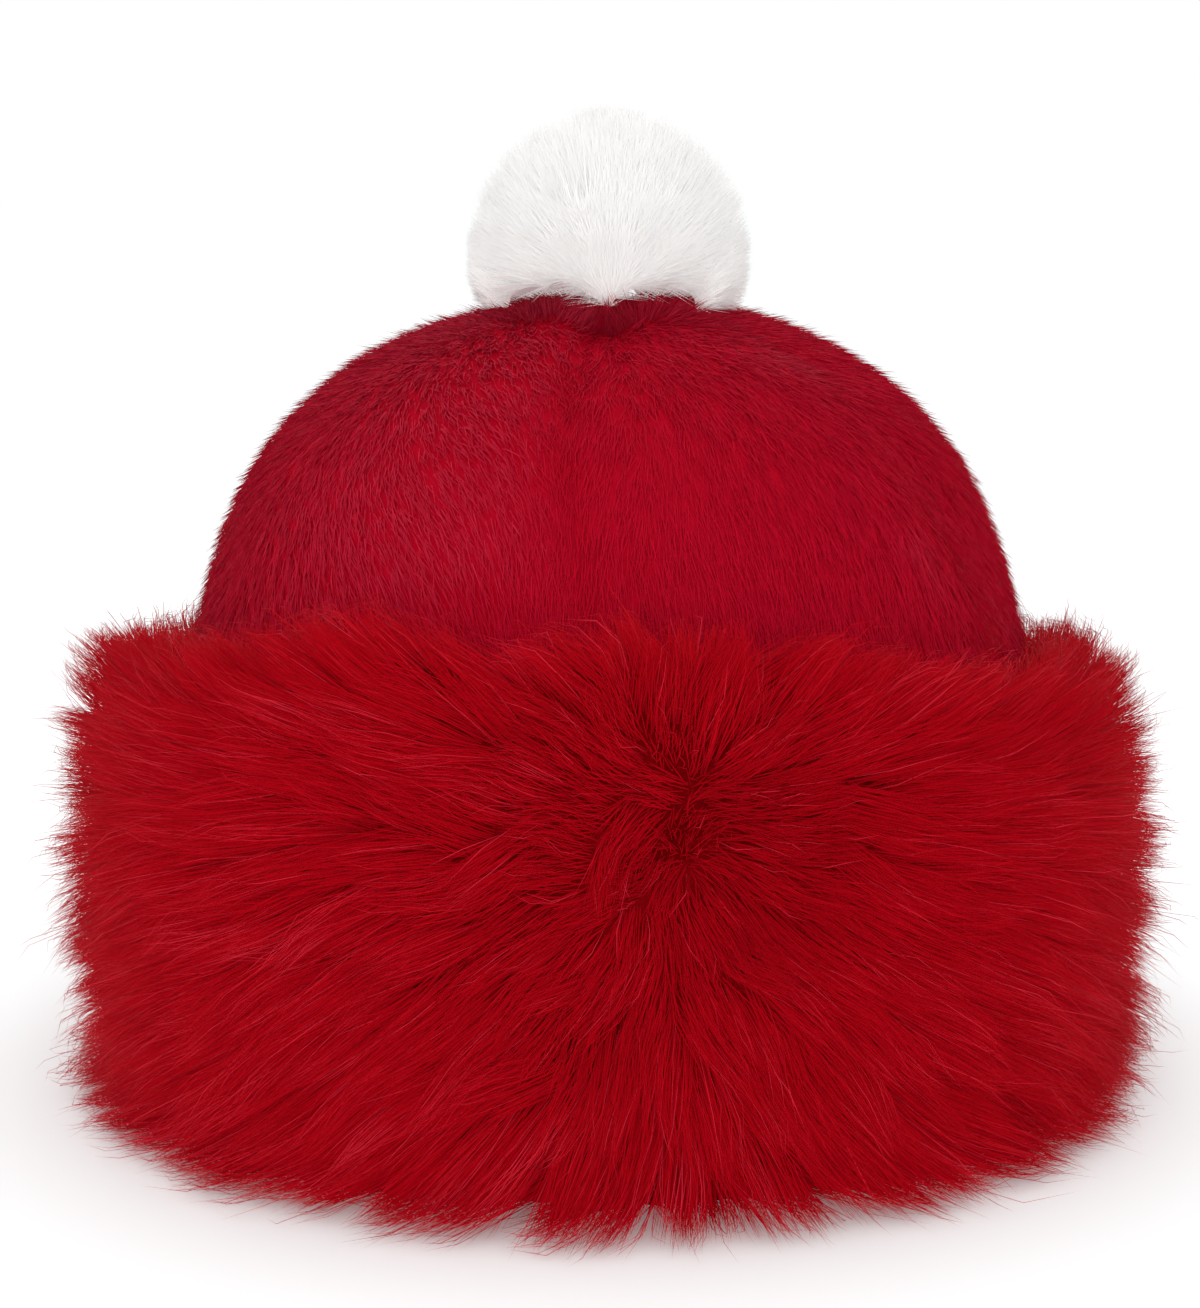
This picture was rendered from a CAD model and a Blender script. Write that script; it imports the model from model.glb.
"""Looks of the santa hat: a sheared red crown, a deep cuff of long red fur, a white pompom.

The fur is modelled. Each hair is a closed, tapered, three-sided tube, rooted on a soft body
that is shaped from the hat's own solid, and thousands of hairs are joined in one mesh. Hairs
follow the lie of the pelt and are drawn together into locks. A hair's UV holds its shade
across and its place from root to tip along, and the fur's materials read only that.
"""

import math

import bpy
import numpy as np
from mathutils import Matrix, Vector
from mathutils.bvhtree import BVHTree
from mathutils.kdtree import KDTree


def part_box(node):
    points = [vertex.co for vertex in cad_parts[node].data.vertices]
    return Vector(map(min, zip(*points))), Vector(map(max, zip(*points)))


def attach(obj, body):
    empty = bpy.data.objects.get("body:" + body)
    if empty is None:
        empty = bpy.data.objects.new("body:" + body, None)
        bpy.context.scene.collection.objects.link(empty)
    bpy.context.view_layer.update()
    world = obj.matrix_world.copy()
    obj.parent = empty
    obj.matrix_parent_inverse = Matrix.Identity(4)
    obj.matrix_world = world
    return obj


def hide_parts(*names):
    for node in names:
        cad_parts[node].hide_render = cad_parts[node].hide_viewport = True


bl_info = {
    "name": "Santa hat of dyed fur",
    "version": (1, 0, 0),
    "blender": (4, 5, 0),
    "location": "View3D > Sidebar > Fur hat",
    "description": "Grows the fur of a santa hat over its solids and sets its stage",
    "category": "Object",
}

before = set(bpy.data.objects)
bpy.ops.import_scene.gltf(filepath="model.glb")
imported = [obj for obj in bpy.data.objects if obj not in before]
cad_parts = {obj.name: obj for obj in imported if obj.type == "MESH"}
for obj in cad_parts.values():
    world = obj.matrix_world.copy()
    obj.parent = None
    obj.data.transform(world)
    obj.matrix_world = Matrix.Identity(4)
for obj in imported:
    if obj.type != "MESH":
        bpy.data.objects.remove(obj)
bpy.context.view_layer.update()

MM = 0.001

# A hair's tube: its sides, and how much of its width it loses on the way to the tip.
HAIR_SIDES = 3
HAIR_TAPER = 0.75

# The hairs' UV map. V runs from root to tip. A hair's shade is its place in U, within a range
# that leaves room for its sides, which lie next to each other.
FUR_UV = "OFBake"
SHADE_IN_UV = 0.94
SIDE_IN_UV = 0.012
UV_MARGIN = 0.01

# The plan is an oval, this much deeper than it is wide.
PLAN_STRETCH = 1.05
CROWN_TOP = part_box("crown")[1].z
POMPOM_LOW, POMPOM_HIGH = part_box("pompom")
POMPOM_RADIUS = (POMPOM_HIGH.x - POMPOM_LOW.x) / 2
POMPOM_CENTRE = np.array((0.0, 0.0, POMPOM_HIGH.z - POMPOM_RADIUS))

# The crown's outside: heights above the floor and radii, in millimetres.
CROWN_PROFILE = ((0, 101.5), (62, 103), (103, 102.6), (127, 97.2), (152, 86.2), (172.5, 66),
                 (184.6, 41.5), (190.5, 17), (192, 0))

# Where the cuff's fur ends: degrees round the hat from the front to the right, and
# millimetres above the floor.
CUFF_TOP = ((-180, 100), (-120, 101), (-90, 106), (-67, 112), (-52, 112), (-41, 118),
            (-27, 127), (-18, 122), (-13, 116), (-7, 122), (2, 125), (18, 121), (34, 114),
            (57, 106), (75, 106), (90, 105), (120, 101), (180, 100))

# The cuff's radii: of its upper ridge at least, of its undercoat at most, and of its fur.
RIDGE_RADIUS = 105 * MM
UNDERCOAT_RADIUS = 122 * MM
FUR_RADIUS = 128 * MM

# How far the cuff's undercoat ends under its fur, and stands above the floor.
UNDERCOAT_DROP = 2 * MM
UNDERCOAT_FOOT = 1.8 * MM

# How far the cuff's hairs lean over at the root and at the tip, and how much less at the
# whorl, in degrees.
ROOT_LEAN, TIP_LEAN = 36, 62
WHORL_ROOT_RISE, WHORL_TIP_RISE = 22, 34

# The two coats of the cuff. length is a share of the hair length, pull is how much a hair is
# drawn to its lock, and strays is the share of hairs that stand out.
UNDERFUR = {"thickness": 0.42 * MM, "length": 0.80, "pull": 0.42, "strays": 0.0}
GUARD_HAIR = {"thickness": 0.21 * MM, "length": 1.16, "pull": 0.74, "strays": 0.12}

# The relief of what lies under the hairs.
SKIN_GRAIN = 900.0
SKIN_RELIEF = 0.8 * MM

# The light inside the fur: its colour and its strength.
CUFF_GLOW = ((1.0, 0.003, 0.02), 0.075)
CROWN_GLOW = ((1.0, 0.01, 0.05), 0.055)
POMPOM_GLOW = ((1.0, 0.985, 0.975), 0.30)

# How red and how white hairs tint what they reflect.
RED_GLOSS = (1.0, 0.3, 0.34, 1.0)
WHITE_GLOSS = (1.0, 1.0, 1.0, 1.0)

# The camera: its place, its lens in millimetres, and how far it looks down, in degrees.
CAMERA_PLACE = (-0.0021, -0.68, 0.2172)
CAMERA_LENS = 75.9
CAMERA_DOWN = 9.6


class FurSettings(bpy.types.PropertyGroup):
    """The dye of the red fur and the white of the pompom."""

    red_shadow: bpy.props.FloatVectorProperty(
        name="Dark red of the cuff", description="The darkest of the long hairs",
        default=(0.25, 0.0003, 0.003), subtype="COLOR", size=3, min=0.0, max=1.0)
    red_body: bpy.props.FloatVectorProperty(
        name="Red of the cuff", description="Most of the long hairs",
        default=(0.345, 0.0006, 0.005), subtype="COLOR", size=3, min=0.0, max=1.0)
    red_light: bpy.props.FloatVectorProperty(
        name="Light red of the cuff", description="The palest of the long hairs",
        default=(0.50, 0.018, 0.036), subtype="COLOR", size=3, min=0.0, max=1.0)
    pile_shadow: bpy.props.FloatVectorProperty(
        name="Dark crimson of the crown", description="The darkest of the short hairs",
        default=(0.36, 0.0006, 0.010), subtype="COLOR", size=3, min=0.0, max=1.0)
    pile_body: bpy.props.FloatVectorProperty(
        name="Crimson of the crown", description="Most of the short hairs",
        default=(0.395, 0.002, 0.016), subtype="COLOR", size=3, min=0.0, max=1.0)
    pile_sheen: bpy.props.FloatVectorProperty(
        name="Sheen of the crown", description="Short hairs where they catch the light",
        default=(0.47, 0.020, 0.048), subtype="COLOR", size=3, min=0.0, max=1.0)
    white: bpy.props.FloatVectorProperty(
        name="White of the pompom", description="Undyed soft fur",
        default=(0.74, 0.725, 0.715), subtype="COLOR", size=3, min=0.0, max=1.0)


class CuffSettings(bpy.types.PropertyGroup):
    """The cuff's long fur."""

    hair_length: bpy.props.FloatProperty(
        name="Hair length", description="Length of the longest fur",
        default=30 * MM, unit="LENGTH", min=10 * MM, max=80 * MM)
    depth: bpy.props.FloatProperty(
        name="Depth", description="How far the fur stands from its skin",
        default=18 * MM, unit="LENGTH", min=4 * MM, max=40 * MM)
    lock_spacing: bpy.props.FloatProperty(
        name="Lock spacing", description="Distance between the middles of two locks",
        default=6.5 * MM, unit="LENGTH", min=4 * MM, max=30 * MM)
    underfur: bpy.props.IntProperty(
        name="Underfur hairs", description="Number of thicker hairs under the guard hairs",
        default=70000, min=1000, max=90000)
    guard_hairs: bpy.props.IntProperty(
        name="Guard hairs", description="Number of long fine hairs",
        default=19000, min=1000, max=60000)
    whorl_angle: bpy.props.FloatProperty(
        name="Whorl angle", description="Where the fur parts, round the hat from the front",
        default=math.radians(8), subtype="ANGLE")
    whorl_height: bpy.props.FloatProperty(
        name="Whorl height", description="Where the fur parts, above the floor",
        default=78 * MM, unit="LENGTH")


class CrownSettings(bpy.types.PropertyGroup):
    """The crown's short fur."""

    hair_length: bpy.props.FloatProperty(
        name="Hair length", description="Length of the sheared fur",
        default=8 * MM, unit="LENGTH", min=2 * MM, max=30 * MM)
    hairs: bpy.props.IntProperty(
        name="Hairs", description="Number of hairs in the pile",
        default=61000, min=1000, max=90000)


class PompomSettings(bpy.types.PropertyGroup):
    """The pompom's white fur."""

    hair_length: bpy.props.FloatProperty(
        name="Hair length", description="Length of the hair that shows",
        default=12 * MM, unit="LENGTH", min=3 * MM, max=40 * MM)
    hairs: bpy.props.IntProperty(
        name="Hairs", description="Number of hairs on the ball",
        default=36000, min=1000, max=45000)


def settings():
    """Give the scene, which holds the hat's settings."""
    return bpy.context.scene


def unit(vectors):
    """Scale vectors to length one."""
    return vectors / np.maximum(np.linalg.norm(vectors, axis=-1, keepdims=True), 1e-9)


def angle_round(places):
    """Give the angles round the hat, from the front towards +X, with the oval as a circle."""
    return np.arctan2(places[..., 0], -places[..., 1] / PLAN_STRETCH)


def radius_out(places):
    """Give the distances from the axis, with the oval plan taken as a circle."""
    return np.hypot(places[..., 0], places[..., 1] / PLAN_STRETCH)


def turned(angles):
    """Bring angles into the range from minus half a turn to half a turn."""
    return (angles + math.pi) % math.tau - math.pi


def surface_ways(places, normals):
    """Give the ways along a surface: round the hat, and up."""
    angles = angle_round(places)
    around = np.stack([np.cos(angles), PLAN_STRETCH * np.sin(angles), np.zeros_like(angles)], -1)
    around = unit(around - normals * np.sum(around * normals, -1, keepdims=True))
    return around, unit(np.cross(normals, around))


def deselect_all():
    """Clear the selection, which holds the solids after they are loaded."""
    for other in bpy.context.selected_objects:
        other.select_set(False)


def make_active(piece):
    """Select one piece alone and make it the active one."""
    deselect_all()
    piece.select_set(True)
    bpy.context.view_layer.objects.active = piece


def merged_copy(node, name):
    """Copy a node's solid with its triangles joined up."""
    piece = bpy.data.objects.new(name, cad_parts[node].data.copy())
    bpy.context.scene.collection.objects.link(piece)
    piece.data.materials.clear()
    make_active(piece)
    bpy.ops.object.mode_set(mode="EDIT")
    bpy.ops.mesh.select_all(action="SELECT")
    bpy.ops.mesh.remove_doubles(threshold=0.01 * MM)
    bpy.ops.object.mode_set(mode="OBJECT")
    return piece


def apply_modifier(piece, kind, **values):
    """Add a modifier with its settings and apply it."""
    modifier = piece.modifiers.new(kind.lower(), kind)
    for name, value in values.items():
        setattr(modifier, name, value)
    bpy.ops.object.modifier_apply(modifier=modifier.name)


def draw_in(distance):
    """Move the active body's surface inwards along its normals."""
    bpy.ops.object.mode_set(mode="EDIT")
    bpy.ops.mesh.select_all(action="SELECT")
    bpy.ops.transform.shrink_fatten(value=-distance)
    bpy.ops.object.mode_set(mode="OBJECT")


def remesh(piece, voxel, smoothing):
    """Give the active piece an even mesh and smooth it."""
    piece.data.remesh_voxel_size = voxel
    bpy.ops.object.voxel_remesh()
    apply_modifier(piece, "SMOOTH", factor=0.5, iterations=smoothing)


def soft_body(node, name, voxel, smoothing, inwards):
    """Shape what lies under long fur from a solid: its locks smoothed away, and drawn in."""
    piece = merged_copy(node, name)
    remesh(piece, voxel, smoothing)
    draw_in(inwards)
    remesh(piece, voxel, smoothing // 2)
    bpy.ops.object.shade_smooth()
    deselect_all()
    return piece


def vertex_places(mesh):
    """Give the places of a mesh's vertices."""
    places = np.empty(len(mesh.vertices) * 3)
    mesh.vertices.foreach_get("co", places)
    return places.reshape(-1, 3)


def move_vertices(mesh, places):
    """Put a mesh's vertices at places."""
    mesh.vertices.foreach_set("co", places.ravel())
    mesh.update()


def scatter(piece, count, chance, likely):
    """Pick places on a piece's surface, with their normals. likely weighs where they fall."""
    mesh = piece.data
    mesh.calc_loop_triangles()
    corners = np.empty(len(mesh.loop_triangles) * 3, np.int64)
    mesh.loop_triangles.foreach_get("vertices", corners)
    corners = corners.reshape(-1, 3)
    places = vertex_places(mesh)
    normals = np.empty(len(mesh.vertices) * 3)
    mesh.vertex_normals.foreach_get("vector", normals)
    normals = normals.reshape(-1, 3)
    first, second, third = (places[corners[:, k]] for k in range(3))
    areas = np.linalg.norm(np.cross(second - first, third - first), axis=1) / 2
    weights = areas * likely((first + second + third) / 3, unit(normals[corners].sum(1)))
    picks = chance.choice(len(corners), count, p=weights / weights.sum())
    shares = np.sqrt(chance.random((count, 1)))
    split = chance.random((count, 1))
    mix = np.concatenate([1 - shares, shares * (1 - split), shares * split], 1)
    spots = np.einsum("nk,nkd->nd", mix, places[corners[picks]])
    ways = unit(np.einsum("nk,nkd->nd", mix, normals[corners[picks]]))
    return spots, ways


def spaced(places, spacing):
    """Give the indices of places that lie at least a spacing apart."""
    cells = {}
    kept = []
    for index, place in enumerate(places):
        cell = tuple(np.floor(place / spacing).astype(int))
        near = (cells.get((cell[0] + a, cell[1] + b, cell[2] + c), ())
                for a in (-1, 0, 1) for b in (-1, 0, 1) for c in (-1, 0, 1))
        if all(np.linalg.norm(place - places[other]) >= spacing for group in near
               for other in group):
            cells.setdefault(cell, []).append(index)
            kept.append(index)
    return np.array(kept)


def nearest(places, targets):
    """Give, for each place, the index of the nearest target."""
    tree = KDTree(len(targets))
    for index, target in enumerate(targets):
        tree.insert(target, index)
    tree.balance()
    return np.array([tree.find(place)[1] for place in places])


def grow(roots, normals, sweep, lengths, lift_root, lift_tip, segments, sag=0.0):
    """Grow hairs as paths. They leave at lift_root from the normal and end at lift_tip."""
    paths = [roots]
    for step in range(segments):
        share = (step + 0.5) / segments
        lift = lift_root + (lift_tip - lift_root) * share
        way = normals * np.cos(lift)[:, None] + sweep * np.sin(lift)[:, None]
        way[:, 2] -= sag * share
        paths.append(paths[-1] + unit(way) * (lengths / segments)[:, None])
    return np.stack(paths, 1)


def resample(paths, points):
    """Give paths with another number of points."""
    old = np.linspace(0, 1, paths.shape[1])
    new = np.linspace(0, 1, points)
    index = np.clip(np.searchsorted(old, new, side="right") - 1, 0, len(old) - 2)
    share = ((new - old[index]) / (old[index + 1] - old[index]))[None, :, None]
    return paths[:, index] * (1 - share) + paths[:, index + 1] * share


def gather(paths, guides, member, pull, fullness):
    """Draw hairs together into locks: towards their guide's path, most at the tip."""
    shares = np.linspace(0, 1, paths.shape[1])[None, :, None]
    offsets = (paths[:, :1] - guides[member][:, :1]) * fullness
    wanted = guides[member] + offsets
    strength = pull[:, None, None] * shares ** 1.4
    return paths + (wanted - paths) * strength


def wave(paths, chance, reach, turns):
    """Give each hair a slight wave of its own, growing from root to tip."""
    count, points = paths.shape[:2]
    shares = np.linspace(0, 1, points)[None, :, None]
    along = unit(paths[:, -1] - paths[:, 0])
    side = unit(np.cross(along, chance.normal(size=(count, 3))))
    other = np.cross(along, side)
    phase = chance.random((count, 1, 1)) * math.tau
    swing = shares * reach * chance.uniform(0.3, 1.0, (count, 1, 1))
    paths = paths + side[:, None] * np.sin(shares * turns * math.tau + phase) * swing
    return paths + other[:, None] * np.cos(shares * turns * math.tau * 0.7 + phase) * swing


def soft_limit(values, limit):
    """Hold values under a limit, and leave those well under it alone."""
    start = 0.7 * limit
    over = np.maximum(values - start, 0.0)
    return values - over + (limit - start) * np.tanh(over / (limit - start))


def press_down(paths, tree, reach):
    """Press hairs towards the body that they grow on, so that none stands above its reach."""
    count, points = paths.shape[:2]
    free = paths[:, 1:].reshape(-1, 3)
    near = np.array([tree.find_nearest(point)[0] for point in free])
    away = free - near
    height = np.linalg.norm(away, axis=1)
    share = soft_limit(height, np.repeat(reach, points - 1)) / np.maximum(height, 1e-9)
    paths[:, 1:] = (near + away * share[:, None]).reshape(count, points - 1, 3)
    return paths


def body_tree(body):
    """Give a body's surface for finding its nearest points."""
    return BVHTree.FromObject(body, bpy.context.evaluated_depsgraph_get())


def turned_about(vectors, axes, angles):
    """Turn vectors about unit axes by angles."""
    cos, sin = np.cos(angles)[:, None], np.sin(angles)[:, None]
    along = np.sum(axes * vectors, -1, keepdims=True)
    return vectors * cos + np.cross(axes, vectors) * sin + axes * along * (1 - cos)


def crown_radius(heights):
    """Give the crown's outside radius at heights above the floor."""
    up, out = np.array(CROWN_PROFILE).T * MM
    return np.where(heights > up[-1], 0.0, np.interp(heights, up, out))


def crown_height(radii):
    """Give how high the crown's dome is at distances from the axis."""
    up, out = np.array(CROWN_PROFILE[2:]).T * MM
    return np.interp(radii, out[::-1], up[::-1])


def cuff_top(places):
    """Give how high the cuff's fur reaches at the angles of places round the hat."""
    angles = [math.radians(angle) for angle, height in CUFF_TOP]
    heights = [height * MM for angle, height in CUFF_TOP]
    return np.interp(angle_round(places), angles, heights)


def keep_under(paths, room):
    """Bend down the hairs that would stand too far above the cuff's upper edge."""
    over = np.maximum(paths[..., 2] - cuff_top(paths), 0.0)
    room = room[:, None]
    paths[..., 2] -= over - room * np.tanh(over / room)
    return paths


def keep_clear(paths, clearance):
    """Lay hairs on the crown where they would run into it."""
    least = crown_radius(paths[..., 2]) + clearance
    least = np.where(paths[..., 2] > CROWN_TOP, 0.0, least)
    radius = np.maximum(radius_out(paths), 1e-6)
    paths[..., :2] *= np.maximum(least / radius, 1.0)[..., None]
    return paths


def spread_on_floor(paths, heights):
    """Turn outwards the hairs that would reach the floor, so that they end just above it."""
    roots = paths[:, :1]
    steps = paths - roots
    drop = np.maximum(roots[:, 0, 2] - paths[:, -1, 2], 1e-6)
    room = np.maximum(roots[:, 0, 2] - heights, 0.0)
    share = np.minimum(room / drop, 1.0)
    across = np.linalg.norm(steps[:, -1, :2], axis=1)
    wider = np.sqrt(1 + (1 - share ** 2) * drop ** 2 / np.maximum(across, 2 * MM) ** 2)
    steps[..., 2] *= share[:, None]
    steps[..., :2] *= np.minimum(wider, 1.45)[:, None, None]
    paths = roots + steps
    paths[..., 2] = np.maximum(paths[..., 2], 0.35 * MM)
    return paths


def hair_faces(rings, shares):
    """Lay out one hair's faces: corners, sizes, and each corner's side and share of length."""
    tip = rings * HAIR_SIDES
    corners, sizes, across, along = [], [], [], []
    for step in range(rings):
        low, high = shares[step], shares[step + 1]
        for edge in range(HAIR_SIDES):
            near = step * HAIR_SIDES + edge
            after = step * HAIR_SIDES + (edge + 1) % HAIR_SIDES
            if step < rings - 1:
                corners += [near, after, after + HAIR_SIDES, near + HAIR_SIDES]
                sizes.append(4)
                across += [edge, edge + 1, edge + 1, edge]
                along += [low, low, high, high]
            else:
                corners += [near, after, tip]
                sizes.append(3)
                across += [edge, edge + 1, edge + 0.5]
                along += [low, low, 1.0]
    corners += list(range(HAIR_SIDES))[::-1]
    sizes.append(HAIR_SIDES)
    across += [0.0, 1.0, 0.5]
    along += [0.0, 0.0, 0.02]
    return np.array(corners), np.array(sizes), np.array(across), np.array(along)


def hair_mesh(name, paths, thickness, shades, facing, chance, softness):
    """Make one mesh of closed, tapered, three-sided hairs along the paths.

    Dense fur shines as one soft surface, so a hair's normals lean, by softness, towards
    facing, which is the way that the pelt faces at its root.
    """
    count, points = paths.shape[:2]
    rings = points - 1
    forward = unit(np.gradient(paths, axis=1))
    side = unit(np.cross(forward, chance.normal(size=(count, 1, 3))))
    other = np.cross(forward, side)
    shares = np.linspace(0, 1, points)
    radii = thickness[:, None] / 2 * (1 - HAIR_TAPER * shares[None, :] ** 1.5)
    turns = np.arange(HAIR_SIDES) * math.tau / HAIR_SIDES
    outwards = (side[:, :rings, None] * np.cos(turns)[None, None, :, None]
                + other[:, :rings, None] * np.sin(turns)[None, None, :, None])
    tube = paths[:, :rings, None] + outwards * radii[:, :rings, None, None]
    verts = np.concatenate([tube.reshape(count, -1, 3), paths[:, -1:]], 1)
    leaning = outwards * (1 - softness) + facing[:, None, None] * softness
    leaning = np.concatenate([leaning.reshape(count, -1, 3), facing[:, None]], 1)

    corners, sizes, across, along = hair_faces(rings, shares)
    each = np.arange(count)[:, None]
    indices = corners[None] + each * verts.shape[1]
    starts = np.concatenate([[0], np.cumsum(sizes)[:-1]])[None] + each * len(corners)
    mesh = bpy.data.meshes.new(name)
    mesh.vertices.add(count * verts.shape[1])
    mesh.vertices.foreach_set("co", verts.ravel())
    mesh.loops.add(count * len(corners))
    mesh.loops.foreach_set("vertex_index", indices.ravel())
    mesh.polygons.add(count * len(sizes))
    mesh.polygons.foreach_set("loop_start", starts.ravel())
    mesh.polygons.foreach_set("use_smooth", np.ones(count * len(sizes), bool))
    mesh.update(calc_edges=True)
    mesh.normals_split_custom_set_from_vertices(unit(leaning).reshape(-1, 3))

    uv = mesh.uv_layers.new(name=FUR_UV)
    u = np.clip(shades, 0.0, 1.0)[:, None] * SHADE_IN_UV + UV_MARGIN
    u = u + across[None] * SIDE_IN_UV
    v = np.broadcast_to(along[None] * 0.98 + UV_MARGIN, u.shape)
    uv.data.foreach_set("uv", np.stack([u, v], -1).ravel())
    piece = bpy.data.objects.new(name, mesh)
    bpy.context.scene.collection.objects.link(piece)
    return piece


class Socket:
    """A value in a material's nodes. Sums and products of these add Math nodes."""

    def __init__(self, tree, output):
        self.tree = tree
        self.output = output

    def math(self, operation, *values):
        node = self.tree.nodes.new("ShaderNodeMath")
        node.operation = operation
        for index, value in enumerate(values):
            connect(self.tree, node.inputs[index], value)
        return Socket(self.tree, node.outputs[0])

    def __add__(self, other):
        return self.math("ADD", self, other)

    __radd__ = __add__

    def __sub__(self, other):
        return self.math("SUBTRACT", self, other)

    def __rsub__(self, other):
        return self.math("SUBTRACT", other, self)

    def __mul__(self, other):
        return self.math("MULTIPLY", self, other)

    __rmul__ = __mul__

    def step_between(self, low, high):
        """Rise smoothly from 0 at low to 1 at high."""
        node = self.tree.nodes.new("ShaderNodeMapRange")
        node.interpolation_type = "SMOOTHSTEP"
        node.inputs["From Min"].default_value = low
        node.inputs["From Max"].default_value = high
        connect(self.tree, node.inputs["Value"], self)
        return Socket(self.tree, node.outputs["Result"])


def connect(tree, socket, value):
    """Link a wrapped value to an input, or set the input's own value."""
    if isinstance(value, Socket):
        tree.links.new(value.output, socket)
    else:
        socket.default_value = value


class Finish:
    """A material in the making."""

    def __init__(self, name, roughness, **constants):
        self.material = bpy.data.materials.new(name)
        self.material.use_nodes = True
        self.tree = self.material.node_tree
        self.shader = self.tree.nodes["Principled BSDF"]
        self.shader.inputs["Roughness"].default_value = roughness
        for socket, value in constants.items():
            self.shader.inputs[socket.replace("_", " ")].default_value = value

    def add(self, kind, settings=None, inputs=None, output=0):
        """Add a node of a type, with its settings first and then its sockets."""
        node = self.tree.nodes.new(kind)
        for name, value in (settings or {}).items():
            setattr(node, name, value)
        for name, value in (inputs or {}).items():
            connect(self.tree, node.inputs[name], value)
        return Socket(self.tree, node.outputs[output])

    def mix(self, share, first, second, blend="MIX"):
        """Mix two colours."""
        node = self.tree.nodes.new("ShaderNodeMix")
        node.data_type = "RGBA"
        node.blend_type = blend
        for index, value in ((0, share), (6, first), (7, second)):
            if isinstance(value, tuple) and len(value) == 3:
                value = (*value, 1.0)
            connect(self.tree, node.inputs[index], value)
        return Socket(self.tree, node.outputs[2])

    def split_uv(self):
        """Give a hair's shade, its place from root to tip, and the two as one vector."""
        uv = self.add("ShaderNodeUVMap", {"uv_map": FUR_UV})
        node = self.tree.nodes.new("ShaderNodeSeparateXYZ")
        connect(self.tree, node.inputs[0], uv)
        return Socket(self.tree, node.outputs[0]), Socket(self.tree, node.outputs[1]), uv

    def end(self, colour):
        """Set the colour and give the material."""
        connect(self.tree, self.shader.inputs["Base Color"], colour)
        return self.material


def fur_finish(name, dark, body, light, roughness, specular, root, gloss=RED_GLOSS,
               streak=0.2):
    """Make the finish of hairs: each with a shade of its own, and darker at the root.

    root is the brightness there as a share of the tip's, and streak is how much a hair's
    shade changes along it.
    """
    finish = Finish(name, roughness, Specular_IOR_Level=specular, Specular_Tint=gloss)
    shade, along, uv = finish.split_uv()
    stretched = finish.add("ShaderNodeVectorMath", {"operation": "MULTIPLY"},
                           {0: uv, 1: (260.0, 3.0, 1.0)})
    streaks = finish.add("ShaderNodeTexNoise", {"noise_dimensions": "2D"},
                         {"Vector": stretched, "Scale": 1.0, "Detail": 2.0})
    tone = shade + (streaks - 0.5) * streak
    colour = finish.mix(tone.step_between(0.0, 0.5), tuple(dark), tuple(body))
    colour = finish.mix(tone.step_between(0.5, 1.0), colour, tuple(light))
    depth = root + along.step_between(0.0, 0.5) * (1 - root)
    grey = finish.add("ShaderNodeCombineColor", inputs={"Red": depth, "Green": depth,
                                                        "Blue": depth})
    colour = finish.mix(1.0, colour, grey, "MULTIPLY")
    return finish.end(colour)


def let_light_through(material, glow):
    """Brighten fur evenly, for the light that passes from hair to hair in its depth."""
    colour, strength = glow
    shader = material.node_tree.nodes["Principled BSDF"]
    shader.inputs["Emission Color"].default_value = (*colour, 1.0)
    shader.inputs["Emission Strength"].default_value = strength


def skin_finish(name, colour, dark, roughness):
    """Make the finish of what lies under the hairs: soft, dense and uneven."""
    finish = Finish(name, roughness, Specular_IOR_Level=0.02)
    place = finish.add("ShaderNodeTexCoord", output=3)
    broad = finish.add("ShaderNodeTexNoise", inputs={"Vector": place, "Scale": 45.0,
                                                     "Detail": 3.0})
    fine = finish.add("ShaderNodeTexNoise", inputs={"Vector": place, "Scale": SKIN_GRAIN,
                                                    "Detail": 2.0})
    share = (broad - 0.5) * 1.6 + (fine - 0.5) * 0.9 + 0.5
    mixed = finish.mix(share.step_between(0.0, 1.0), tuple(dark), tuple(colour))
    bump = finish.add("ShaderNodeBump", inputs={"Strength": 0.6, "Distance": SKIN_RELIEF,
                                                "Height": fine})
    connect(finish.tree, finish.shader.inputs["Normal"], bump)
    return finish.end(mixed)


def finish_piece(piece, material, node):
    """Give a piece its material, its body and slot, and the node that it stands for."""
    piece.data.materials.append(material)
    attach(piece, "root")
    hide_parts(node)


def fit_edges(body):
    """Bring the undercoat's upper part to where the fur ends, and its foot to the floor."""
    places = vertex_places(body.data)
    angles = angle_round(places)
    ridge = radius_out(places) > RIDGE_RADIUS
    middles = np.linspace(-math.pi, math.pi, 97)
    near = [ridge & (np.abs(turned(angles - middle)) < math.radians(3)) for middle in middles]
    highest = np.array([places[part, 2].max() for part in near])
    top = cuff_top(places) - UNDERCOAT_DROP
    share = top / np.interp(angles, middles, highest)
    upper = np.clip((places[:, 2] - 30 * MM) / (55 * MM), 0, 1)
    upper = upper * upper * (3 - 2 * upper)
    places[:, 2] *= 1 + (share - 1) * upper
    places[:, 2] = np.minimum(places[:, 2], top)
    foot = np.clip((42 * MM - places[:, 2]) / (34 * MM), 0, 1) ** 2
    places[:, 2] -= (places[:, 2].min() - UNDERCOAT_FOOT) * foot
    inwards = np.minimum(UNDERCOAT_RADIUS / np.maximum(radius_out(places), 1e-6), 1.0)
    places[:, :2] *= inwards[:, None]
    move_vertices(body.data, places)


def whorl_nearness(places, reach=48 * MM):
    """Give how near places are to where the cuff's fur parts and faces the front."""
    cuff = settings().fur_cuff
    across = turned(angle_round(places) - cuff.whorl_angle) * FUR_RADIUS
    rise = places[:, 2] - cuff.whorl_height
    away = np.hypot(across * 0.8, rise * np.where(rise > 0, 1.5, 1.0))
    return np.exp(-(away / reach) ** 2)


def frontness(places):
    """Give 1 over most of the cuff's front, and less and less towards its sides."""
    return np.clip(1.3 * np.cos(angle_round(places)), 0, 1)


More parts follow.
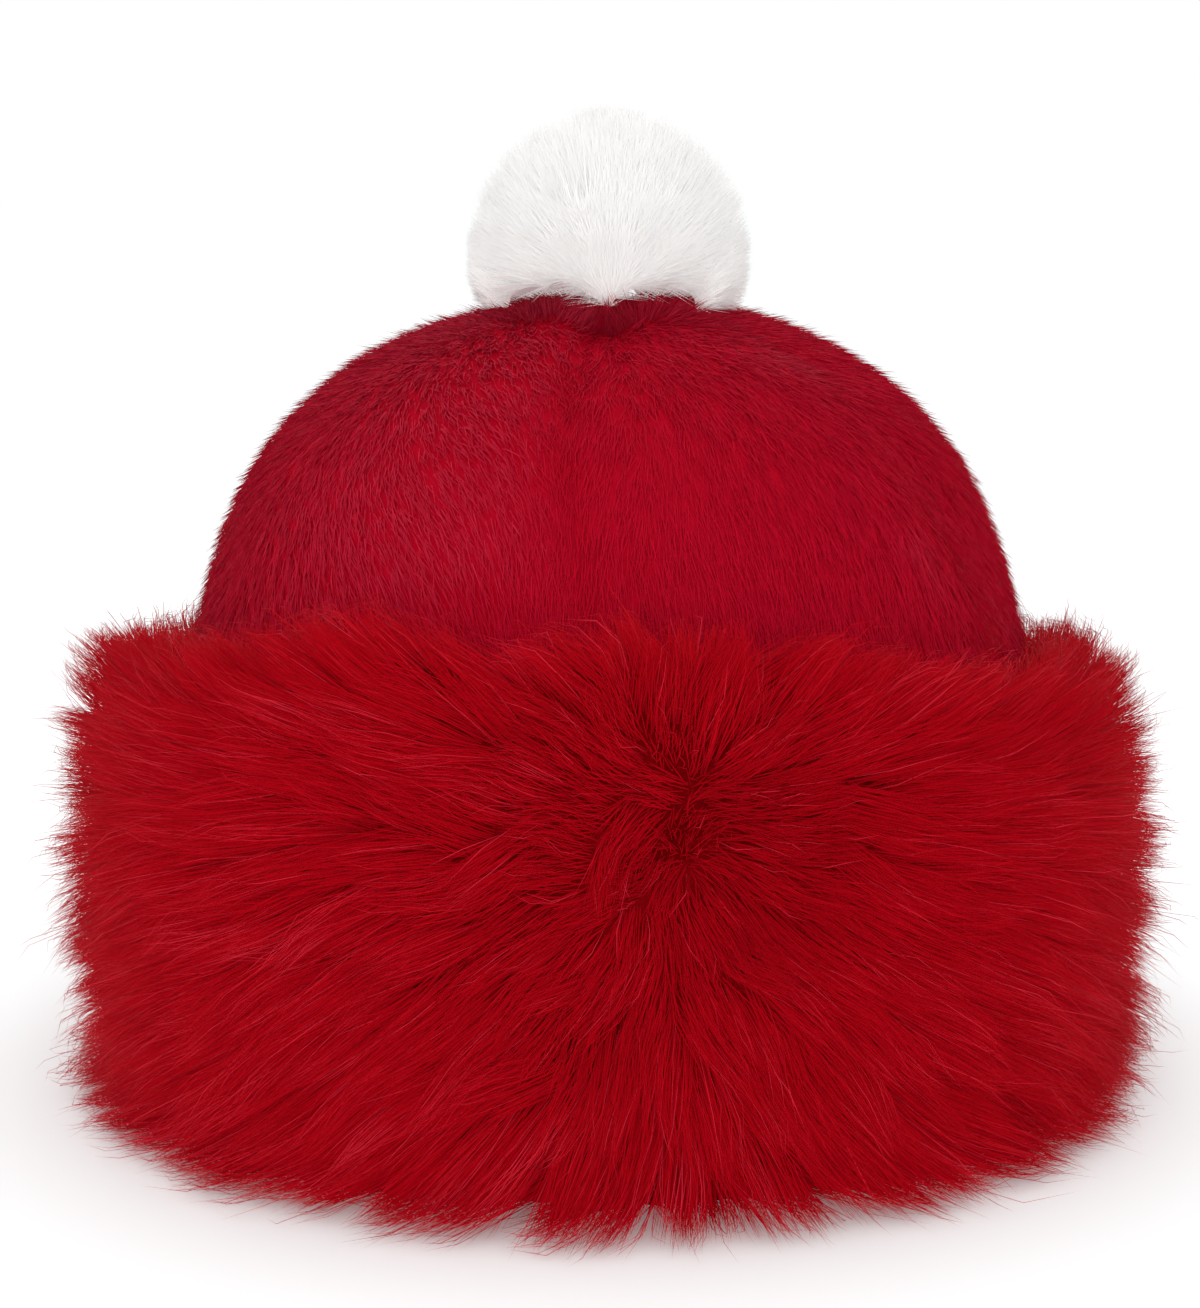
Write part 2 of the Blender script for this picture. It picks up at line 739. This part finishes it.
def edge_growth(places):
    """Give how much longer the cuff's fur is by the floor, and over the front's upper edge."""
    front = frontness(places)
    low = np.clip((26 * MM - places[:, 2]) / (20 * MM), 0, 1)
    high = np.clip((places[:, 2] - 90 * MM) / (18 * MM), 0, 1) * front
    return 1 + (0.1 + 0.4 * front) * low + 0.25 * high


def patchiness(places):
    """Give the slow change of the cuff's shade from place to place."""
    x, y, z = (places / MM).T
    right = np.clip(np.sin(angle_round(places)), 0, 1)
    low = np.clip((45 - z) / 35, 0, 1)
    return (0.07 * np.sin(x * 0.05 + z * 0.16 + 0.6) * np.sin(y * 0.06 + z * 0.07 + 2.0)
            + 0.06 * np.sin(x * 0.12 - z * 0.21 + y * 0.08) - 0.14 * right + 0.12 * low)


def drift(places):
    """Give the slow, uneven turning of the cuff's fur from place to place."""
    x, y, z = (places / MM).T
    return (0.12 * np.sin(x * 0.083 + z * 0.061 + 1.3) * np.cos(y * 0.05 - z * 0.09)
            + 0.09 * np.sin(z * 0.13 - x * 0.08 + 4.0)
            + 0.06 * np.sin(x * 0.21 + y * 0.19 + z * 0.05))


def cuff_sweep(places, normals, jitter):
    """Give the lie of the cuff's fur: away from the whorl, round the hat and up or down."""
    cuff = settings().fur_cuff
    around, up = surface_ways(places, normals)
    away = turned(angle_round(places) - cuff.whorl_angle)
    from_back = math.pi - np.abs(turned(angle_round(places)))
    rise = places[:, 2] - cuff.whorl_height
    side = np.tanh(away / 0.30) * np.tanh(from_back / 0.35)
    lift = np.tanh(rise / np.where(rise > 0, 27 * MM, 40 * MM)) * 0.9
    sweep = unit(around * side[:, None] + up * lift[:, None] + 1e-4)
    return turned_about(sweep, normals, jitter + drift(places))


def cuff_reach(places, normals):
    """Give how far the cuff's fur stands from its skin: less on top, more by the floor."""
    flat_top = np.clip((normals[:, 2] - 0.25) / 0.5, 0, 1)
    low = np.clip((24 * MM - places[:, 2]) / (20 * MM), 0, 1) * frontness(places)
    return settings().fur_cuff.depth * (1 - 0.5 * flat_top + 0.3 * low)


def evened(places, normals):
    """Lean the normals of the cuff's upright side outwards, so that no dimple turns its fur."""
    height = places[:, 2] / MM
    side = np.clip((height - 8) / 10, 0, 1)
    side = side * np.clip((cuff_top(places) / MM - 14 - height) / 10, 0, 1)
    return unit(normals + 1.5 * side[:, None] * unit(places * (1, 1, 0)))


def cuff_hairs(name, count, segments, coat, chance, body, locks):
    """Grow hairs of one coat on the cuff, drawn into the cuff's locks."""
    cuff = settings().fur_cuff
    roots, normals = scatter(body, count, chance, on_cuff_outside)
    normals = evened(roots, normals)
    member = nearest(roots, locks["roots"])
    near = whorl_nearness(roots)
    jitter = locks["turn"][member] + chance.normal(0, 0.11, count) * (1 + 0.5 * near)
    sweep = cuff_sweep(roots, normals, jitter)
    length = cuff.hair_length * coat["length"] * locks["length"][member]
    length = length * chance.uniform(0.72, 1.12, count) * (1 - 0.45 * near)
    length = length * (1 - 0.3 * np.clip(normals[:, 2], 0, 1)) * edge_growth(roots)
    stray = chance.random(count) < coat["strays"]
    length = length * (1 + 0.15 * stray)
    low = np.clip((18 * MM - roots[:, 2]) / (16 * MM), 0, 1)
    lift_root = np.radians(chance.normal(ROOT_LEAN, 7, count) - WHORL_ROOT_RISE * near)
    lift_tip = np.radians(chance.normal(TIP_LEAN, 8, count) - WHORL_TIP_RISE * near
                          - 24 * stray - 14 * low)
    lift_tip = lift_tip - locks["stray"][member]
    paths = grow(roots, normals, sweep, length, lift_root, lift_tip, segments, sag=0.10)
    guides = resample(locks["paths"], segments + 1)
    pull = chance.normal(coat["pull"], 0.14, count) - 0.3 * stray - 0.35 * near
    paths = gather(paths, guides, member, np.clip(pull, 0.0, 0.95), fullness=0.2)
    paths = wave(paths, chance, reach=1.3 * MM, turns=0.8)
    reach = cuff_reach(roots, normals) * chance.uniform(0.8, 1.25, count)
    reach = reach * (1.0 + 0.15 * (coat["strays"] > 0) + 0.2 * stray)
    paths = press_down(paths, locks["tree"], reach)
    paths = keep_under(paths, 9 * MM * chance.uniform(0.3, 1.3, count) * (1 + stray))
    paths = keep_clear(paths, 1.5 * MM)
    paths = spread_on_floor(paths, chance.uniform(0.5, 5.0, count) * MM)
    shades = locks["shade"][member] + chance.normal(0, 0.10, count)
    shades = np.where(chance.random(count) < coat["strays"] / 2, 1.0, shades)
    widths = coat["thickness"] * chance.uniform(0.7, 1.25, count)
    return hair_mesh(name, paths, widths, shades, normals, chance, softness=0.86)


def on_cuff_outside(places, normals):
    """Weigh the cuff's outside, so that no hair grows against the crown or on the floor."""
    outwards = places * (1, 1, 0)
    facing = np.sum(unit(outwards) * normals, -1)
    keep = (facing > 0.05) | ((normals[:, 2] > 0.6) & (facing > -0.45))
    front = 1.0 + 0.25 * np.cos(angle_round(places))
    return keep * front


def cuff_locks(body, chance):
    """Lay out the cuff's locks: where each is rooted, its path, its length and its shade."""
    cuff = settings().fur_cuff
    roots, normals = scatter(body, 14000, chance, on_cuff_outside)
    kept = spaced(roots, cuff.lock_spacing)
    roots, normals = roots[kept], evened(roots[kept], normals[kept])
    count = len(roots)
    near = whorl_nearness(roots)
    turn = chance.normal(0, 1, count) * (0.14 + 0.75 * whorl_nearness(roots, 32 * MM))
    length = chance.uniform(0.72, 1.15, count)
    stray = np.radians(np.clip(chance.normal(0, 9, count), -14, 30))
    sweep = cuff_sweep(roots, normals, turn)
    lengths = cuff.hair_length * length * (1 - 0.45 * near)
    lengths = lengths * (1 - 0.3 * np.clip(normals[:, 2], 0, 1)) * edge_growth(roots)
    lift_root = np.radians(ROOT_LEAN - WHORL_ROOT_RISE * near)
    lift_tip = np.radians(TIP_LEAN - WHORL_TIP_RISE * near) - stray
    paths = grow(roots, normals, sweep, lengths, lift_root, lift_tip, segments=6, sag=0.10)
    paths = wave(paths, chance, reach=2.2 * MM, turns=0.6)
    tree = body_tree(body)
    paths = press_down(paths, tree, cuff_reach(roots, normals) * chance.uniform(0.9, 1.4, count))
    shade = chance.normal(0.52, 0.10, count) - 0.3 * whorl_nearness(roots, 22 * MM)
    shade += patchiness(roots)
    return {"roots": roots, "turn": turn, "length": length, "stray": stray, "paths": paths,
            "shade": shade, "tree": tree}


def apex_ruff(places):
    """Give how much the short fur stands up in a low arch before the pompom."""
    ring = np.exp(-((radius_out(places) - 30 * MM) / (5 * MM)) ** 2)
    return ring * np.exp(-(angle_round(places) / 0.75) ** 2)


def crown_sweep(places, normals, jitter):
    """Give the lie of the crown's fur: down, and on the left slanting to the front seam."""
    around, up = surface_ways(places, normals)
    angles = np.degrees(angle_round(places))
    left = np.clip((-angles - 3) / 24, 0, 1) * np.clip((180 + angles) / 60, 0, 1)
    right = np.clip((angles - 8) / 40, 0, 1) * np.clip((180 - angles) / 60, 0, 1)
    side = 0.95 * left - 0.28 * right
    sweep = unit(around * side[:, None] - up)
    return turned_about(sweep, normals, jitter + 0.5 * drift(places))


def crown_tone(places):
    """Give the shade of the crown's fur.

    It is paler where the left side turns to the light, and by the apex. The front seam, the
    ridge and the dent at the right, and the fold above them are paler and darker marks.
    """
    angles = np.degrees(angle_round(places))
    height = places[:, 2] / MM
    seam = -3 - 7 * np.clip((188 - height) / 12, 0, 1) + 9 * np.clip((172 - height) / 50, 0, 1)
    left = 1 / (1 + np.exp((angles - seam) / 3))
    sheen = np.exp(-((angles + 34) / 30) ** 2 - ((height - 148) / 34) ** 2)
    slant = (angles - 49) + (height - 137) * 0.32
    ridge = np.exp(-(slant / 5) ** 2 - ((height - 137) / 13) ** 2)
    dent = np.exp(-((slant - 7) / 4.5) ** 2 - ((height - 126) / 20) ** 2)
    dusk = np.exp(-((angles - 71) / 14) ** 2 - ((height - 158) / 14) ** 2)
    fold = np.exp(-((angles - 50) / 16) ** 2 - ((height - 176 + (angles - 50) * 0.2) / 3.5) ** 2)
    groove = np.exp(-((angles - seam) / 2.5) ** 2) * (height < 186)
    top = np.clip((height - 160) / 25, 0, 1)
    notch = np.exp(-(angles / 3) ** 2) * (height > 186.5)
    bare = np.exp(-((angles + 12) / 9) ** 2 - ((height - 124) / 8) ** 2)
    return (0.36 + 0.14 * left + 0.26 * sheen * left + 0.38 * ridge - 0.4 * dent - 0.2 * dusk
            + 0.25 * fold - 0.3 * groove + 0.24 * top - 0.3 * notch - 0.3 * bare)


def on_crown_outside(places, normals):
    """Weigh the crown's outside above the cuff and around the pompom."""
    outwards = places - np.array((0.0, 0.0, 80 * MM))
    outside = np.sum(unit(outwards) * normals, -1) > 0.0
    above = places[:, 2] > cuff_top(places) - 12 * MM
    return outside * above * (radius_out(places) > 12 * MM) * (1 + 1.2 * apex_ruff(places))


def shear_round(paths, reach):
    """Shear the pompom's hairs to a ball."""
    away = paths - POMPOM_CENTRE
    height = np.linalg.norm(away, axis=-1, keepdims=True)
    limit = reach[:, None, None]
    return POMPOM_CENTRE + away * np.minimum(limit / np.maximum(height, 1e-9), 1.0)


def sit_down(ball):
    """Lower the ball's underside onto the crown."""
    places = vertex_places(ball.data)
    low = np.clip((POMPOM_LOW.z + 16 * MM - places[:, 2]) / (10 * MM), 0, 1)
    seat = crown_height(radius_out(places)) + 0.4 * MM
    places[:, 2] = np.maximum(places[:, 2] - 6 * MM * low, np.minimum(places[:, 2], seat))
    move_vertices(ball.data, places)


def on_pompom_outside(places, normals):
    """Weigh the ball's outside, and leave its seat on the crown bare."""
    away = places - POMPOM_CENTRE
    rim = 1 + 1.5 * (places[:, 2] < POMPOM_LOW.z + 14 * MM)
    return (np.sum(unit(away) * normals, -1) > 0.3) * (normals[:, 2] > -0.8) * rim


class FURHAT_OT_stage(bpy.types.Operator):
    """Set the pale floor, the soft light and the camera."""

    bl_idname = "furhat.stage"
    bl_label = "Stage"

    def execute(self, context):
        deselect_all()
        bpy.ops.mesh.primitive_plane_add(size=60.0, location=(0, 0, 0))
        floor = context.active_object
        floor.name = "floor"
        paint = Finish("floor", 0.9, Specular_IOR_Level=0.0, Emission_Strength=0.11)
        paint.shader.inputs["Emission Color"].default_value = (1.0, 1.0, 1.0, 1.0)
        floor.data.materials.append(paint.end((0.90, 0.93, 0.935, 1.0)))

        world = bpy.data.worlds.new("studio")
        context.scene.world = world
        world.use_nodes = True
        sky = world.node_tree.nodes["Background"]
        sky.inputs["Color"].default_value = (1.0, 1.0, 1.0, 1.0)
        sky.inputs["Strength"].default_value = 1.0

        for name, place, aim, size, power in (
                ("top_light", (0, 0.1, 1.7), (0, 0, 0.1), 1.4, 3.5),
                ("front_light", (-0.1, -1.9, 0.6), (0, 0, 0.12), 1.4, 14.0)):
            bpy.ops.object.light_add(type="AREA", location=place)
            light = context.active_object
            light.name = name
            light.data.size = size
            light.data.energy = power
            aimed = Vector(aim) - Vector(place)
            light.rotation_euler = aimed.to_track_quat("-Z", "Y").to_euler()

        bpy.ops.object.camera_add(location=CAMERA_PLACE,
                                  rotation=(math.radians(90 - CAMERA_DOWN), 0, 0))
        camera = context.active_object
        camera.data.lens = CAMERA_LENS
        camera.data.sensor_width = 36.0
        context.scene.camera = camera
        context.scene.view_settings.view_transform = "Standard"
        deselect_all()
        return {"FINISHED"}


class FURHAT_OT_crown_skin(bpy.types.Operator):
    """Shape the crown's skin from its solid."""

    bl_idname = "furhat.crown_skin"
    bl_label = "Crown skin"

    def execute(self, context):
        fur = context.scene.fur_dye
        skin = merged_copy("crown", "crown_skin")
        apply_modifier(skin, "SUBSURF", levels=1, render_levels=1)
        draw_in(1.2 * MM)
        bpy.ops.object.shade_smooth()
        deselect_all()
        material = skin_finish("crown_skin", fur.pile_body, fur.pile_shadow, roughness=0.8)
        finish_piece(skin, material, "crown")
        return {"FINISHED"}


class FURHAT_OT_crown_pile(bpy.types.Operator):
    """Grow the crown's short sheared fur."""

    bl_idname = "furhat.crown_pile"
    bl_label = "Crown pile"

    def execute(self, context):
        crown = context.scene.fur_crown
        fur = context.scene.fur_dye
        chance = np.random.default_rng(31)
        skin = bpy.data.objects["crown_skin"]
        roots, normals = scatter(skin, crown.hairs, chance, on_crown_outside)
        angles = angle_round(roots)
        sweep = crown_sweep(roots, normals, chance.normal(0, 0.13, len(roots)))
        ruff = apex_ruff(roots)
        lengths = crown.hair_length * chance.uniform(0.7, 1.15, len(roots)) * (1 + 0.5 * ruff)
        lift = np.radians(np.clip(chance.normal(72, 6, len(roots)), 40, 84) - 38 * ruff)
        paths = grow(roots, normals, sweep, lengths, lift, lift, segments=1)
        shades = crown_tone(roots) + 0.2 * ruff + chance.normal(0, 0.07, len(roots))
        widths = 0.36 * MM * chance.uniform(0.6, 1.2, len(roots))
        material = fur_finish("crown_pile", fur.pile_shadow, fur.pile_body, fur.pile_sheen,
                              roughness=0.6, specular=0.05, root=0.97, streak=0.12)
        let_light_through(material, CROWN_GLOW)
        for side, part in (("left", angles < 0), ("right", angles >= 0)):
            pile = hair_mesh("crown_pile_" + side, paths[part], widths[part], shades[part],
                             normals[part], chance, softness=0.9)
            finish_piece(pile, material, "crown")
        return {"FINISHED"}


class FURHAT_OT_cuff_fur(bpy.types.Operator):
    """Grow the cuff's long fur over its undercoat."""

    bl_idname = "furhat.cuff_fur"
    bl_label = "Cuff fur"

    def execute(self, context):
        cuff = context.scene.fur_cuff
        fur = context.scene.fur_dye
        chance = np.random.default_rng(7)
        body = soft_body("fur_cuff", "cuff_undercoat", voxel=4 * MM, smoothing=24,
                         inwards=7 * MM)
        make_active(body)
        apply_modifier(body, "SMOOTH", factor=0.5, iterations=10)
        fit_edges(body)
        remesh(body, voxel=4.4 * MM, smoothing=5)
        fit_edges(body)
        apply_modifier(body, "SMOOTH", factor=0.5, iterations=3)
        deselect_all()
        dark = tuple(0.6 * channel for channel in fur.red_shadow)
        finish_piece(body, skin_finish("cuff_undercoat", fur.red_shadow, dark, roughness=0.8),
                     "fur_cuff")
        locks = cuff_locks(body, chance)
        under = fur_finish("cuff_underfur", fur.red_shadow, fur.red_body, fur.red_body,
                           roughness=0.6, specular=0.04, root=0.78)
        guard = fur_finish("cuff_guard_hair", fur.red_shadow, fur.red_body, fur.red_light,
                           roughness=0.5, specular=0.06, root=0.8)
        for shaded in (under, guard):
            let_light_through(shaded, CUFF_GLOW)
        for name, count, segments, coat, material in (
                ("cuff_underfur_a", cuff.underfur // 2, 1, UNDERFUR, under),
                ("cuff_underfur_b", cuff.underfur // 2, 1, UNDERFUR, under),
                ("cuff_guard_hairs_a", cuff.guard_hairs // 2, 3, GUARD_HAIR, guard),
                ("cuff_guard_hairs_b", cuff.guard_hairs // 2, 2, GUARD_HAIR, guard)):
            piece = cuff_hairs(name, count, segments, coat, chance, body, locks)
            finish_piece(piece, material, "fur_cuff")
        return {"FINISHED"}


class FURHAT_OT_pompom(bpy.types.Operator):
    """Shape the pompom's ball and grow its white fur."""

    bl_idname = "furhat.pompom"
    bl_label = "Pompom"

    def execute(self, context):
        pompom = context.scene.fur_pompom
        fur = context.scene.fur_dye
        chance = np.random.default_rng(19)
        ball = soft_body("pompom", "pompom_ball", voxel=2.4 * MM, smoothing=6,
                         inwards=6.5 * MM)
        grey = tuple(0.94 * channel for channel in fur.white)
        under = skin_finish("pompom_ball", fur.white, grey, roughness=0.9)
        let_light_through(under, POMPOM_GLOW)
        finish_piece(ball, under, "pompom")
        sit_down(ball)
        roots, normals = scatter(ball, pompom.hairs, chance, on_pompom_outside)
        count = len(roots)
        locks = spaced(roots[:6000], 2.6 * MM)
        member = nearest(roots, roots[locks])
        away = roots - (POMPOM_CENTRE + POMPOM_RADIUS * np.array((0.0, -0.6, -0.75)))
        sweep = unit(away - normals * np.sum(away * normals, -1, keepdims=True) + 1e-5)
        sweep = turned_about(sweep, normals, chance.normal(0, 0.35, count))
        lengths = pompom.hair_length * chance.uniform(0.75, 1.1, count)
        lift = np.radians(np.abs(chance.normal(40, 10, count)))
        paths = grow(roots, normals, sweep, lengths, lift, lift, segments=1)
        guides = grow(roots[locks], normals[locks], sweep[locks],
                      np.full(len(locks), pompom.hair_length), lift[locks], lift[locks],
                      segments=1)
        paths = gather(paths, guides, member, np.full(count, 0.28), fullness=0.3)
        paths = shear_round(paths, chance.normal(POMPOM_RADIUS + 0.8 * MM, 0.5 * MM, count))
        seat = crown_height(radius_out(paths)) + 0.6 * MM
        paths[..., 2] = np.maximum(paths[..., 2], seat)
        rim = np.clip((POMPOM_CENTRE[2] - roots[:, 2]) / POMPOM_RADIUS, 0, 1)
        shades = chance.normal(0.62, 0.1, count) - 0.75 * rim
        widths = 0.4 * MM * chance.uniform(0.7, 1.2, count)
        hair = hair_mesh("pompom_fur", paths, widths, shades, normals, chance, softness=0.85)
        rosy = tuple(share * channel for share, channel in zip((0.91, 0.78, 0.78), fur.white))
        material = fur_finish("pompom_fur", rosy, fur.white, fur.white, roughness=0.8,
                              specular=0.05, root=0.98, gloss=WHITE_GLOSS, streak=0.1)
        let_light_through(material, POMPOM_GLOW)
        finish_piece(hair, material, "pompom")
        return {"FINISHED"}


class FURHAT_PT_panel(bpy.types.Panel):
    """The hat's steps and sizes in the sidebar."""

    bl_idname = "FURHAT_PT_panel"
    bl_label = "Fur hat"
    bl_space_type = "VIEW_3D"
    bl_region_type = "UI"
    bl_category = "Fur hat"

    def draw(self, context):
        for operator in OPERATORS:
            self.layout.operator(operator.bl_idname)
        for group in GROUPS:
            box = self.layout.box()
            values = getattr(context.scene, group)
            for name in GROUPS[group].__annotations__:
                box.prop(values, name)


GROUPS = {"fur_dye": FurSettings, "fur_cuff": CuffSettings, "fur_crown": CrownSettings,
          "fur_pompom": PompomSettings}
OPERATORS = (FURHAT_OT_stage, FURHAT_OT_crown_skin, FURHAT_OT_crown_pile, FURHAT_OT_cuff_fur,
             FURHAT_OT_pompom)
CLASSES = (*GROUPS.values(), *OPERATORS, FURHAT_PT_panel)


def register():
    for cls in CLASSES:
        bpy.utils.register_class(cls)
    for name, group in GROUPS.items():
        setattr(bpy.types.Scene, name, bpy.props.PointerProperty(type=group))


def unregister():
    for name in GROUPS:
        delattr(bpy.types.Scene, name)
    for cls in reversed(CLASSES):
        bpy.utils.unregister_class(cls)


def main():
    register()
    bpy.ops.furhat.stage()
    bpy.ops.furhat.crown_skin()
    bpy.ops.furhat.crown_pile()
    bpy.ops.furhat.cuff_fur()
    bpy.ops.furhat.pompom()


if __name__ == "__main__":
    main()
